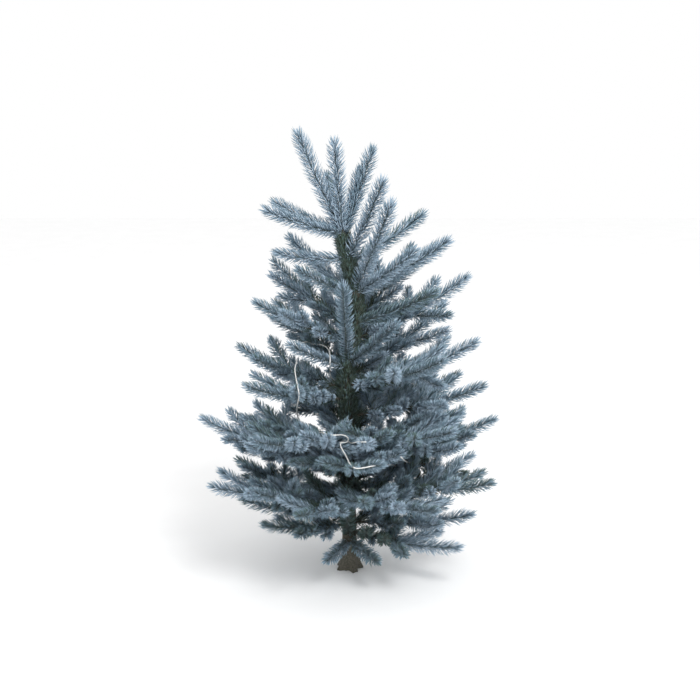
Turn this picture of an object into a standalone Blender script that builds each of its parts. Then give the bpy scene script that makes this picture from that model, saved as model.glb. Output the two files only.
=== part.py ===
"""A young blue noble fir, 1.14 m tall, rooted in level ground.

Metres and degrees, +Z up. The origin is the middle of the flat cut under the trunk, at ground
level. The tree is seen from the front along +Y, with +X on the right. An azimuth is counted
from +X towards +Y, so 270 points at the viewer.

Each limb is a chain of yearly lengths, oldest at the trunk. At the end of every year but the
last, one younger branch leaves on each side. The newest length of every branch is a brush of
needles, the one before it a thinner brush, and the older ones are bare. A length that would run
into another limb is turned, cut shorter or left out, so every mass keeps to its own space.
"""

import math
import random
from collections import namedtuple

import bmesh
import bpy
import numpy as np
from mathutils import Matrix, Quaternion, Vector

UP = Vector((0, 0, 1))

# Trunk
TRUNK_TOP = 0.872
TRUNK_RADIUS = 0.019
TRUNK_TIP_RADIUS = 0.0075
FLARE_RADIUS = 0.012
FLARE_HEIGHT = 0.03
FLARE_LOBES = 5
FLARE_LOBE_DEPTH = 0.28
TRUNK_SWAY = 0.018
SWAY_DEPTH_SHARE = 0.4
SWAY_WAVE = 0.40
SWAY_START = 0.59
TRUNK_SIDES = 10
TRUNK_RINGS = 12
RING_SPACING = 1.35
LEADER_STEM_LENGTH = 0.022
LEADER_STEM_TAPER = 0.36

# Boughs and twigs
JOINT_GAP = 0.0003
BOUGH_SHARE = 0.86
BOUGH_PARTS = 3
BOUGH_YEARS = 3
WOOD_RADIUS = 0.0022
WOOD_RADIUS_A_YEAR = 0.0009
LIMB_SIDES = 6
TWIG_SIDES = 4
ROOT_DEPTH = 0.004
ROOT_SHARE = 0.55
KNOB_RADIUS = 0.014
SHARP_ANGLE = 35.0

# Growth
YEARLY_GAIN = 0.16
LENGTH_SPREAD = 0.07
LIFT = 0.10
TIP_LIFT = 0.24
TIP_CHORD = 0.1
FORK_ANGLE = 50.0
FORK_SPREAD = 7.0
FORK_RISE = 0.22
SIDE_SHARE = 0.84
SIDE_YEARS = 2
LONG_YEAR = 0.135
MIDDLE_SHARE = 0.55
MIDDLE_TWIG_SHARE = 0.6

# Brushes of needles, as stations: a share of the length and a share of the radius
BRUSH_RADIUS = 0.019
BRUSH_LENGTH = 0.1
BRUSH_WIDENING = 0.022
BRUSH_SIDES = 4
BRUSH_STATIONS = ((0.0, 0.0), (0.14, 0.85), (0.32, 1.0), (0.52, 1.0), (0.71, 1.0), (0.88, 0.85),
                  (1.0, 0.0))
OLD_BRUSH_RADIUS = 0.013
OLD_BRUSH_STATIONS = ((0.0, 0.0), (0.33, 1.0), (0.7, 1.0), (1.0, 0.0))
TOOTH_VALLEY = 0.56
TOOTH_LEAN = 0.45
SHORTEST_BRUSH = 0.05

# Room kept between a mass and everything else. Each try is a turn, a rise and a share of length
BEAD_STEP = 0.008
CLEARANCE = 0.0012
KIN_SHARE = 0.4
OUTER_SHARE = 0.55
ROOT_ROOM = 0.05
TRIES = ((0, 0, 1.0), (0, 12, 1.0), (0, -12, 1.0), (14, 0, 1.0), (-14, 0, 1.0), (0, 0, 0.8),
         (24, 0, 0.85), (-24, 0, 0.85), (0, 24, 0.8), (0, -24, 0.8), (0, 0, 0.62))

Limb = namedtuple("Limb", "name height azimuth rise years reach")
Year = namedtuple("Year", "limb start heading length age order")

# Shoots that fork from the trunk's tip
LEADERS = (
    Limb("leaders", TRUNK_TOP, 176, 63, 1, 0.280),
    Limb("leaders", TRUNK_TOP, 185, 84, 1, 0.236),
    Limb("leaders", TRUNK_TOP, 52, 62, 1, 0.175),
    Limb("leaders", TRUNK_TOP, 30, 65, 1, 0.228),
    Limb("leaders", TRUNK_TOP, 200, 13, 1, 0.218),
    Limb("leaders", TRUNK_TOP, 162, 15, 1, 0.200),
    Limb("leaders", TRUNK_TOP, 108, 40, 1, 0.190),
)

# Limbs on the trunk. Those of one name leave it together and are one mass
LIMBS = (
    Limb("crown_front_high", 0.822, 314, 56, 1, 0.230),
    Limb("crown_left", 0.822, 190, 0, 1, 0.165),
    Limb("crown_right_back", 0.812, 34, 18, 1, 0.265),
    Limb("crown_back", 0.790, 100, 34, 1, 0.230),
    Limb("crown_right", 0.745, 308, 56, 1, 0.285),
    Limb("crown_right", 0.738, 332, 31, 1, 0.200),
    Limb("crown_right", 0.740, 2, 23, 1, 0.255),
    Limb("crown_right", 0.735, 28, 16, 1, 0.255),
    Limb("crown_front_left", 0.735, 214, 20, 1, 0.175),
    Limb("crown_back_left", 0.735, 142, 24, 1, 0.235),
    Limb("front_whorl", 0.560, 262, 66, 1, 0.238),
    Limb("front_whorl", 0.556, 320, 35, 1, 0.190),
    Limb("front_whorl", 0.550, 214, 19, 1, 0.190),
    Limb("upper_right_front", 0.660, 342, 18, 1, 0.240),
    Limb("foot_whorl", 0.095, 266, 52, 1, 0.215),
    Limb("foot_whorl", 0.080, 246, -8, 1, 0.130),
    Limb("foot_whorl", 0.085, 292, -4, 1, 0.170),
    Limb("upper_right", 0.615, 8, 21, 2, 0.325),
    Limb("upper_right_back", 0.655, 52, 28, 2, 0.300),
    Limb("upper_back", 0.635, 98, 28, 2, 0.290),
    Limb("upper_left_back", 0.645, 145, 23, 2, 0.280),
    Limb("upper_left", 0.615, 190, 17, 2, 0.262),
    Limb("middle_front_right", 0.500, 322, 14, 2, 0.320),
    Limb("middle_right", 0.485, 357, 15, 2, 0.362),
    Limb("middle_right_back", 0.520, 34, 19, 2, 0.335),
    Limb("middle_back", 0.515, 78, 22, 2, 0.320),
    Limb("middle_left_back", 0.530, 125, 22, 2, 0.310),
    Limb("middle_left", 0.490, 172, 13, 2, 0.295),
    Limb("middle_front_left", 0.465, 214, 8, 2, 0.300),
    Limb("middle_right_low", 0.420, 344, 10, 2, 0.350),
    Limb("low_front", 0.325, 270, 2, 3, 0.310),
    Limb("low_front_right", 0.370, 314, 5, 3, 0.345),
    Limb("low_right", 0.310, 4, 4, 3, 0.388),
    Limb("low_right_back", 0.380, 56, 8, 3, 0.370),
    Limb("low_back", 0.360, 112, 8, 3, 0.365),
    Limb("low_left", 0.305, 178, 5, 3, 0.388),
    Limb("low_front_left", 0.360, 226, 3, 3, 0.345),
    Limb("deep_front_left", 0.225, 246, -3, 3, 0.305),
    Limb("deep_front", 0.225, 294, -3, 3, 0.320),
    Limb("deep_front_right", 0.235, 336, -1, 3, 0.388),
    Limb("deep_right_back", 0.245, 34, 1, 3, 0.375),
    Limb("deep_back", 0.245, 86, 2, 3, 0.360),
    Limb("deep_left_back", 0.250, 140, 2, 3, 0.370),
    Limb("deep_left", 0.215, 204, 1, 3, 0.380),
    Limb("skirt_front_left", 0.125, 226, 0, 2, 0.250),
    Limb("skirt_front_right", 0.105, 312, -7, 2, 0.320),
    Limb("skirt_right", 0.130, 352, -1, 2, 0.335),
    Limb("skirt_back_right", 0.125, 45, 0, 2, 0.310),
    Limb("skirt_back_left", 0.125, 115, 0, 2, 0.310),
    Limb("skirt_left", 0.140, 176, 1, 2, 0.275),
)

BARK = ("bark", (0.105, 0.075, 0.05), 0.85)
NEEDLES = ("needles", (0.165, 0.235, 0.30), 0.6)


def clear_scene():
    for obj in list(bpy.data.objects):
        bpy.data.objects.remove(obj)


def material(name, colour, roughness):
    made = bpy.data.materials.new(name)
    made.use_nodes = True
    shader = made.node_tree.nodes["Principled BSDF"]
    shader.inputs["Base Color"].default_value = (*colour, 1)
    shader.inputs["Roughness"].default_value = roughness
    shader.inputs["Metallic"].default_value = 0
    return made


def pointing(azimuth, rise):
    """A unit vector from two angles in degrees."""
    turn = math.radians(azimuth)
    tilt = math.radians(rise)
    flat = math.cos(tilt)
    return Vector((math.cos(turn) * flat, math.sin(turn) * flat, math.sin(tilt)))


def trunk_centre(height):
    """The trunk sways a little, and more towards its tip."""
    sway = TRUNK_SWAY * height / TRUNK_TOP
    phase = math.tau * (height - SWAY_START) / SWAY_WAVE
    return Vector((sway * math.sin(phase), SWAY_DEPTH_SHARE * sway * math.cos(phase), height))


def trunk_radius(height):
    """Even taper, with a flare that dies away above the ground."""
    taper = TRUNK_RADIUS + (TRUNK_TIP_RADIUS - TRUNK_RADIUS) * height / TRUNK_TOP
    return taper + FLARE_RADIUS * math.exp(-height / FLARE_HEIGHT)


def wood_radius(age, share):
    return WOOD_RADIUS + WOOD_RADIUS_A_YEAR * (age - share)


def frames(spine):
    """The placing of a ring at each point of a spine, turned along it without twisting."""
    turn = (spine[1] - spine[0]).to_track_quat("Z", "Y")
    placed = []
    for i, point in enumerate(spine):
        ahead = spine[min(i + 1, len(spine) - 1)] - spine[max(i - 1, 0)]
        turn = (turn @ UP).rotation_difference(ahead) @ turn
        placed.append(Matrix.LocRotScale(point, turn, None))
    return placed


def carried(spine, sides, shape, pointed=False):
    """A closed mesh: a ring carried along a spine. shape(station, side) gives a corner's radius
    and how far ahead of the ring it stands. The ends are flat, or both come to a point."""
    bm = bmesh.new()
    bmesh.ops.create_circle(bm, cap_ends=not pointed, segments=sides, radius=1.0)
    rings = [bm.verts[:]]
    rim = bm.edges[:]
    for _ in spine[1:]:
        grown = bmesh.ops.extrude_edge_only(bm, edges=rim)["geom"]
        rings.append([item for item in grown if isinstance(item, bmesh.types.BMVert)])
        rim = [item for item in grown if isinstance(item, bmesh.types.BMEdge) and item.is_boundary]
    if not pointed:
        bmesh.ops.edgeloop_fill(bm, edges=rim)
    for station, (ring, place) in enumerate(zip(rings, frames(spine))):
        for corner in ring:
            angle = math.atan2(corner.co.y, corner.co.x)
            side = round(angle / math.tau * sides) % sides
            radius, ahead = shape(station, side)
            corner.co = place @ Vector((radius * math.cos(angle), radius * math.sin(angle), ahead))
    if pointed:
        bmesh.ops.pointmerge(bm, verts=rings[0], merge_co=spine[0])
        bmesh.ops.pointmerge(bm, verts=rings[-1], merge_co=spine[-1])
    bmesh.ops.recalc_face_normals(bm, faces=bm.faces)
    mesh = bpy.data.meshes.new("shape")
    bm.to_mesh(mesh)
    bm.free()
    return mesh


def shown(name, mesh, finish):
    """A node of the model."""
    mesh.materials.clear()
    mesh.materials.append(finish)
    mesh.shade_smooth()
    mesh.set_sharp_from_angle(angle=math.radians(SHARP_ANGLE))
    mesh.name = name
    obj = bpy.data.objects.new(name, mesh)
    bpy.context.scene.collection.objects.link(obj)
    return obj


def trunk_mesh(extra=0.0):
    """The trunk from its flat cut at the ground to its tip, or a copy grown by extra all round."""
    heights = [TRUNK_TOP * (i / TRUNK_RINGS) ** RING_SPACING for i in range(TRUNK_RINGS + 1)]
    spine = [trunk_centre(height) for height in heights]

    def shape(station, side):
        height = heights[station]
        flare = FLARE_LOBE_DEPTH * math.exp(-height / FLARE_HEIGHT)
        lobe = 1 + flare * math.cos(math.tau * FLARE_LOBES * side / TRUNK_SIDES)
        return trunk_radius(height) * lobe + extra, 0.0

    mesh = carried(spine, TRUNK_SIDES, shape)
    for corner in mesh.vertices:
        if corner.co.z < heights[1] / 2:
            corner.co.z = 0.0
        elif corner.co.z > (heights[-2] + TRUNK_TOP) / 2:
            corner.co.z = TRUNK_TOP
    return mesh


def spine_point(year, share):
    """A yearly length bends upwards as it grows, the newest the most."""
    lift = TIP_LIFT if year.age == 1 else LIFT
    rising = (UP - UP.dot(year.heading) * year.heading) * lift
    return year.start + year.length * (share * year.heading + 0.5 * share * share * rising)


def end_heading(year):
    return (spine_point(year, 1.0) - spine_point(year, 1.0 - TIP_CHORD)).normalized()


def brush_radius(year):
    """A longer brush is a little wider, and last year's is thin."""
    if year.age > 1:
        return OLD_BRUSH_RADIUS
    return BRUSH_RADIUS + BRUSH_WIDENING * (year.length - BRUSH_LENGTH)


def stations(year):
    return BRUSH_STATIONS if year.age == 1 else OLD_BRUSH_STATIONS


def thickness(year, share):
    """How far a yearly length reaches from its spine, at a share of its length."""
    if year.age > 2:
        return wood_radius(year.age, share)
    table = stations(year)
    for (share_a, wide_a), (share_b, wide_b) in zip(table, table[1:]):
        if share <= share_b:
            between = (share - share_a) / (share_b - share_a)
            return brush_radius(year) * (wide_a + (wide_b - wide_a) * between)
    return 0.0


class Room:
    """The space already taken, as beads strung along every limb, twig and brush."""

    def __init__(self):
        self.points = np.empty((0, 3))
        self.radii = np.empty(0)
        self.owners = np.empty(0, object)

    def take(self, points, radii, owner):
        self.points = np.vstack([self.points, points])
        self.radii = np.append(self.radii, radii)
        self.owners = np.append(self.owners, np.full(len(radii), owner, object))

    def fits(self, points, radii, owner, rooted):
        """Whether a string of beads clears all others, and its own kin but for its root. One
        that is rooted in the trunk may touch it there."""
        apart = np.linalg.norm(points[:, None] - self.points[None], axis=2)
        reach = radii[:, None] + self.radii[None]
        kin = (self.owners == owner)[None]
        at_root = np.linalg.norm(points - points[0], axis=1) < ROOT_ROOM
        allowed = (self.owners == "trunk")[None] & at_root[:, None] & rooted
        strange_hit = (apart < reach + CLEARANCE) & ~kin & ~allowed
        outer = (np.arange(len(points)) > (1 - OUTER_SHARE) * len(points))[:, None]
        kin_hit = (apart < reach * KIN_SHARE) & kin & outer
        return not (strange_hit.any() or kin_hit.any())


def beads(year):
    """A yearly length as beads, the first one a little way out from its root."""
    count = max(3, math.ceil(year.length / BEAD_STEP))
    shares = [(i + 0.5) / count for i in range(count)]
    points = np.array([spine_point(year, share) for share in shares])
    return points, np.array([thickness(year, share) for share in shares])


def fitted(room, year):
    """The yearly length, turned or cut until it fits, or None."""
    rooted = year.order == 0 and year.age == year.limb.years
    sideways = year.heading.cross(UP).normalized()
    for turn, raised, share in TRIES:
        heading = Quaternion(sideways, math.radians(raised)) @ year.heading
        heading = Quaternion(UP, math.radians(turn)) @ heading
        tried = year._replace(heading=heading, length=year.length * share)
        if year.age == 1 and tried.length < SHORTEST_BRUSH:
            continue
        points, radii = beads(tried)
        if room.fits(points, radii, year.limb.name, rooted):
            room.take(points, radii, year.limb.name)
            return tried
    return None


def yearly_length(limb, age, order, draw):
    """A limb's newer years are longer, and its side branches are shorter."""
    gain = 1 + YEARLY_GAIN * ((limb.years + 1) / 2 - age)
    spread = draw.uniform(1 - LENGTH_SPREAD, 1 + LENGTH_SPREAD)
    return limb.reach / limb.years * gain * SIDE_SHARE ** order * spread


def side_branches(year, draw, share=1.0, shorter=1.0, oldest=SIDE_YEARS):
    """The first lengths of two branches at a share of a year's length, in the limb's flat fan."""
    start, heading = spine_point(year, share), end_heading(year)
    sideways = heading.cross(UP).normalized()
    over = sideways.cross(heading)
    age = min(year.age - 1, oldest if year.order == 0 else 1)
    branches = []
    for side in (-1, 1):
        turn = math.radians(FORK_ANGLE + draw.uniform(-FORK_SPREAD, FORK_SPREAD))
        out = heading * math.cos(turn) + sideways * (side * math.sin(turn))
        out += over * draw.uniform(0, FORK_RISE)
        length = yearly_length(year.limb, age, year.order + 1, draw) * shorter
        branches.append(Year(year.limb, start, out.normalized(), length, age, year.order + 1))
    return branches


def grown(room, first_years):
    """Every limb's yearly lengths. All leading lengths grow first, then their side branches."""
    kept = {}
    draws = {year.limb.name: random.Random(year.limb.name) for year in first_years}
    wave = first_years
    while wave:
        later = []
        while wave:
            onward = []
            for year in [fitted(room, wish) for wish in wave]:
                if year is None:
                    continue
                kept.setdefault(year.limb.name, []).append(year)
                if year.age > 1:
                    draw = draws[year.limb.name]
                    length = yearly_length(year.limb, year.age - 1, year.order, draw)
                    tip = year._replace(start=spine_point(year, 1.0), heading=end_heading(year))
                    onward.append(tip._replace(length=length, age=year.age - 1))
                    later += side_branches(year, draw)
                    if year.length > LONG_YEAR:
                        later += side_branches(year, draw, MIDDLE_SHARE, MIDDLE_TWIG_SHARE, oldest=1)
            wave = onward
        wave = later
    return kept


def brush_mesh(year):
    """A slim core of needles with some of them standing out of it as teeth."""
    full = brush_radius(year)
    table = stations(year)
    root = year.start - year.heading * ROOT_DEPTH
    spine = [root] + [spine_point(year, share) for share, _ in table[1:]]

    def shape(station, side):
        radius = full * table[station][1]
        if (station + side) % 2:
            return radius * TOOTH_VALLEY, 0.0
        return radius, full * TOOTH_LEAN

    return carried(spine, BRUSH_SIDES, shape, pointed=True)


def twig_mesh(year):
    """The bare wood of an older year, with its ends sunk in its neighbours."""
    spine = [year.start - year.heading * ROOT_DEPTH, spine_point(year, 0.5)]
    spine.append(spine_point(year, 1.0) + end_heading(year) * ROOT_DEPTH)
    return carried(spine, TWIG_SIDES, lambda station, side: (wood_radius(year.age, station / 2), 0.0))


def year_mesh(year):
    return twig_mesh(year) if year.age > 2 else brush_mesh(year)


def outer_shell(mesh):
    """Leaves only the largest closed shell, without hollows sealed inside or loose scraps."""
    bm = bmesh.new()
    bm.from_mesh(mesh)
    left = set(bm.faces)
    shells = []
    while left:
        shell, edge = set(), [left.pop()]
        while edge:
            face = edge.pop()
            shell.add(face)
            near = {other for side in face.edges for other in side.link_faces} & left
            left -= near
            edge += near
        shells.append(shell)
    largest = max(shells, key=lambda shell: sum(face.calc_area() for face in shell))
    bmesh.ops.delete(bm, geom=[face for face in bm.faces if face not in largest], context="FACES")
    bm.to_mesh(mesh)
    bm.free()


def fused(name, meshes, finish, cutter=None):
    """One closed solid of overlapping shapes, with room for the trunk cut from its foot."""
    body = shown(name, meshes[0], finish)
    helpers = bpy.data.collections.new(name + "_shapes")
    bpy.context.scene.collection.children.link(helpers)
    for mesh in meshes[1:]:
        helpers.objects.link(bpy.data.objects.new("shape", mesh))
    if len(meshes) > 1:
        join = body.modifiers.new("join", "BOOLEAN")
        join.operation = "UNION"
        join.operand_type = "COLLECTION"
        join.collection = helpers
        join.solver = "EXACT"
    if cutter:
        cut = body.modifiers.new("clear_of_trunk", "BOOLEAN")
        cut.operation = "DIFFERENCE"
        cut.object = cutter
        cut.solver = "EXACT"
    graph = bpy.context.evaluated_depsgraph_get()
    whole = bpy.data.meshes.new_from_object(body.evaluated_get(graph))
    for shape in list(helpers.objects):
        bpy.data.objects.remove(shape)
    bpy.data.collections.remove(helpers)
    bpy.data.objects.remove(body)
    outer_shell(whole)
    return shown(name, whole, finish)


def first_year(limb):
    """A limb's first length starts inside the trunk."""
    inside = trunk_radius(limb.height) * ROOT_SHARE
    root = trunk_centre(limb.height) + pointing(limb.azimuth, 0) * inside
    heading = pointing(limb.azimuth, limb.rise)
    length = yearly_length(limb, limb.years, 0, random.Random(limb.height))
    return Year(limb, root, heading, length, limb.years, 0)


def leader_stem():
    """The top of the trunk's line, where the leaders fork."""
    foot = trunk_centre(TRUNK_TOP)
    top = foot + UP * LEADER_STEM_LENGTH
    spine = [foot + UP * JOINT_GAP, foot.lerp(top, 0.5), top]

    def shape(station, side):
        return TRUNK_TIP_RADIUS * (1 - LEADER_STEM_TAPER * station / 2), 0.0

    return spine, carried(spine, LIMB_SIDES, shape)


def bough_and_stem(first):
    """The bare part of a bough, and the stem that its mass stands on."""
    shares = [BOUGH_SHARE * i / BOUGH_PARTS for i in range(BOUGH_PARTS + 1)]
    spine = [spine_point(first, share) for share in shares]

    def tapering(station, side):
        return wood_radius(first.age, shares[station]), 0.0

    def even(station, side):
        return wood_radius(first.age, BOUGH_SHARE), 0.0

    along = (spine[-1] - spine[-2]).normalized()
    end = spine_point(first, 1.0) + end_heading(first) * ROOT_DEPTH
    line = [spine[-1] + along * JOINT_GAP, spine[-1] + along * ROOT_DEPTH, end]
    return carried(spine, LIMB_SIDES, tapering), carried(line, LIMB_SIDES, even)


def whorl_knob(years):
    """A swelling on the trunk's face that shoots of one whorl share."""
    middle = sum((year.start for year in years), Vector()) / len(years)
    axis = trunk_centre(middle.z)
    face = axis + (middle - axis).normalized() * trunk_radius(middle.z)
    bm = bmesh.new()
    bmesh.ops.create_icosphere(bm, subdivisions=1, radius=KNOB_RADIUS, matrix=Matrix.Translation(face))
    mesh = bpy.data.meshes.new("shape")
    bm.to_mesh(mesh)
    bm.free()
    return mesh


def build():
    clear_scene()
    bark = material(*BARK)
    needles = material(*NEEDLES)
    shown("trunk", trunk_mesh(), bark)
    clearance = JOINT_GAP / math.cos(math.pi / TRUNK_SIDES)
    cutter = bpy.data.objects.new("trunk_clearance", trunk_mesh(clearance))
    bpy.context.scene.collection.objects.link(cutter)
    cutter.hide_render = True
    cutter.display_type = "WIRE"

    room = Room()
    rings = np.arange(0, TRUNK_TOP, BEAD_STEP)
    along_trunk = [trunk_centre(height) for height in rings]
    room.take(along_trunk, [trunk_radius(height) for height in rings], "trunk")

    stem_line, stem = leader_stem()
    fork = stem_line[1]
    leaders = [Year(limb, fork, pointing(limb.azimuth, limb.rise), limb.reach, 1, 0) for limb in LEADERS]
    first_years = [first_year(limb) for limb in LIMBS]
    kept = grown(room, leaders + first_years)

    for name, years in kept.items():
        shapes = [year_mesh(year) for year in years]
        if name == "leaders":
            fused(name, [stem] + shapes, needles)
        elif years[0].age < BOUGH_YEARS:
            whorl = [year for year in years if year.age == year.limb.years and year.order == 0]
            knob = [whorl_knob(whorl)] if len(whorl) > 1 else []
            fused(name + "_needles", shapes + knob, needles, cutter)
        else:
            bough, foot = bough_and_stem(years[0])
            fused(name + "_bough", [bough], bark, cutter)
            fused(name + "_needles", [foot] + shapes[1:], needles)
    bpy.data.objects.remove(cutter)


build()
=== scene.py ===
"""A young blue noble fir on a pale floor.

Metres and degrees, +Z up. The origin is the middle of the flat cut under the trunk. The tree is
seen from the front along +Y, with +X on the right. An azimuth is counted from +X towards +Y, so
270 points at the viewer.

The limbs grow by the same rule and the same draws as the solids they stand for: a chain of
yearly lengths, oldest at the trunk, with a pair of younger branches at the end of each. Here
they go on to finer shoots between the yearly knots, and every length carries its own needles.
"""

import math
import random
from collections import namedtuple

import bmesh
import bpy
import numpy as np
from mathutils import Matrix, Quaternion, Vector, noise
from mathutils.bvhtree import BVHTree


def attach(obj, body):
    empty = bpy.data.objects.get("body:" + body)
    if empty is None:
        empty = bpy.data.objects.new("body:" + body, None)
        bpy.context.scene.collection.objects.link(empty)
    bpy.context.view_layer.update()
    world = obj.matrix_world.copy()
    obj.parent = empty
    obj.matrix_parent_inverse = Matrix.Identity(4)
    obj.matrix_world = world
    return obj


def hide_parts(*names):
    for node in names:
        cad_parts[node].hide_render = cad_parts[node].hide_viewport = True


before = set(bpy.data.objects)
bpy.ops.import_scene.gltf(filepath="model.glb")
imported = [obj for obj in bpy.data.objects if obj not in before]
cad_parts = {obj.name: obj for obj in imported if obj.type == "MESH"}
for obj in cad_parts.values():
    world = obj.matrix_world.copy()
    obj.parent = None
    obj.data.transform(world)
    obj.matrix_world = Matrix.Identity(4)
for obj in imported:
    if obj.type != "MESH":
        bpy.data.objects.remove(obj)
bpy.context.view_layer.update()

UP = Vector((0, 0, 1))

# Camera. Its field is the width that it sees at the point it looks at
CAMERA_LOOKS_AT = Vector((0, 0, 0.59))
CAMERA_AWAY = 3.0
CAMERA_RISE = 15.0
CAMERA_FIELD = 1.75
CAMERA_SENSOR = 36.0
CAMERA_LENS = CAMERA_SENSOR * CAMERA_AWAY / CAMERA_FIELD
PICTURE_SIDE = 700
VIEW_AHEAD = Vector((0, math.cos(math.radians(CAMERA_RISE)), -math.sin(math.radians(CAMERA_RISE))))
VIEW_UP = Vector((0, math.sin(math.radians(CAMERA_RISE)), math.cos(math.radians(CAMERA_RISE))))
EYE = CAMERA_LOOKS_AT - VIEW_AHEAD * CAMERA_AWAY

# Light and floor
WORLD_STRENGTH = 1.0
KEY_LIGHT_PLACE = (1.4, -2.2, 3.6)
KEY_LIGHT_SIZE = 1.6
KEY_LIGHT_POWER = 78.0
FLOOR_HALF_SIDE = 6.0

# Trunk
TRUNK_TOP = 0.872
TRUNK_RADIUS = 0.019
TRUNK_TIP_RADIUS = 0.0075
FLARE_RADIUS = 0.012
FLARE_HEIGHT = 0.03
FLARE_LOBES = 5
FLARE_LOBE_DEPTH = 0.28
TRUNK_SWAY = 0.018
SWAY_DEPTH_SHARE = 0.4
SWAY_WAVE = 0.40
SWAY_START = 0.59
LEADER_STEM_LENGTH = 0.022

# Boughs and twigs
BOUGH_YEARS = 3
WOOD_RADIUS = 0.0022
WOOD_RADIUS_A_YEAR = 0.0009
ROOT_DEPTH = 0.004
ROOT_SHARE = 0.55

# Growth
YEARLY_GAIN = 0.16
LENGTH_SPREAD = 0.07
LIFT = 0.10
TIP_LIFT = 0.24
TIP_CHORD = 0.1
FORK_ANGLE = 50.0
FORK_SPREAD = 7.0
FORK_RISE = 0.22
SIDE_SHARE = 0.84
SIDE_YEARS = 2
LONG_YEAR = 0.135
MIDDLE_SHARE = 0.55
MIDDLE_TWIG_SHARE = 0.6

# How far the needles of a length reach from its wood, along it
BRUSH_RADIUS = 0.019
BRUSH_LENGTH = 0.1
BRUSH_WIDENING = 0.022
BRUSH_STATIONS = ((0.0, 0.0), (0.14, 0.85), (0.32, 1.0), (0.52, 1.0), (0.71, 1.0), (0.88, 0.85),
                  (1.0, 0.0))
OLD_BRUSH_RADIUS = 0.013
OLD_BRUSH_STATIONS = ((0.0, 0.0), (0.33, 1.0), (0.7, 1.0), (1.0, 0.0))
SHORTEST_BRUSH = 0.05

# Room kept between limbs. Each try is a turn, a rise and a share of length
BEAD_STEP = 0.008
CLEARANCE = 0.0012
KIN_SHARE = 0.4
OUTER_SHARE = 0.55
ROOT_ROOM = 0.05
TRIES = ((0, 0, 1.0), (0, 12, 1.0), (0, -12, 1.0), (14, 0, 1.0), (-14, 0, 1.0), (0, 0, 0.8),
         (24, 0, 0.85), (-24, 0, 0.85), (0, 24, 0.8), (0, -24, 0.8), (0, 0, 0.62))

# Short shoots between the yearly knots, which have age 0
SHORT_SHARES = (0.3, 0.48, 0.68)
SHORT_LENGTHS = (0.034, 0.058)
SHORT_BRUSH_RADIUS = 0.0125

# Side shoots of this year on older wood
FILLING_SHARES = (0.3, 0.52, 0.74, 0.93)
FILLING_LENGTHS = (0.062, 0.098)

# How finer shoots leave their wood, and how far they may lie among their neighbours' needles
SHOOT_ANGLE = 58.0
SHOOT_ANGLE_SPREAD = 9.0
SHOOT_RISE = (-0.1, 0.6)
SHOOT_CROWDING = 0.58

Limb = namedtuple("Limb", "name height azimuth rise years reach")
Year = namedtuple("Year", "limb start heading length age order")

# Shoots that fork from the trunk's tip
LEADERS = (
    Limb("leaders", TRUNK_TOP, 176, 63, 1, 0.280),
    Limb("leaders", TRUNK_TOP, 185, 84, 1, 0.236),
    Limb("leaders", TRUNK_TOP, 52, 62, 1, 0.175),
    Limb("leaders", TRUNK_TOP, 30, 65, 1, 0.228),
    Limb("leaders", TRUNK_TOP, 200, 13, 1, 0.218),
    Limb("leaders", TRUNK_TOP, 162, 15, 1, 0.200),
    Limb("leaders", TRUNK_TOP, 108, 40, 1, 0.190),
)

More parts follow.
